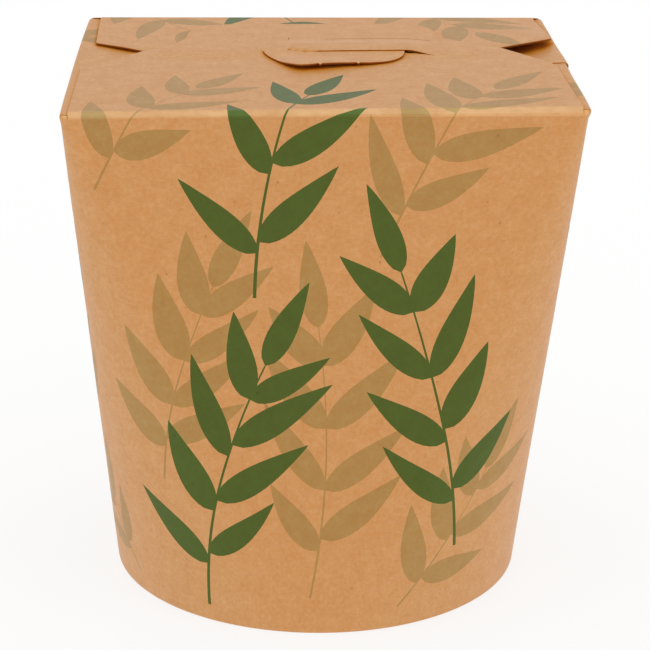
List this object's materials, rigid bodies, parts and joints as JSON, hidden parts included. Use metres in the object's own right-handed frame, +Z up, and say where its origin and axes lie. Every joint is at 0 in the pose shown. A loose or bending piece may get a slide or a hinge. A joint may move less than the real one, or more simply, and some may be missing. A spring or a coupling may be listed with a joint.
{
  "type": "noodle takeaway box",
  "caption": "Shut round-based kraft-board noodle box with an oblong top, folded flaps, a lock tab, a glued side seam and a recessed base board.",
  "frame": {"origin": "centre of the box on the surface it stands on", "axes": "+Z up, +X to the right of the front wall as seen from the front, +Y to the back"},
  "size_m": [0.1022, 0.0864, 0.1108],
  "materials": {
    "printed_kraft": "matt uncoated kraft board with a printed leaf pattern",
    "base_kraft": "matt plain kraft board"
  },
  "bodies": {
    "root": {"carton": "printed_kraft", "base_disc": "base_kraft"}
  },
  "joints": []
}
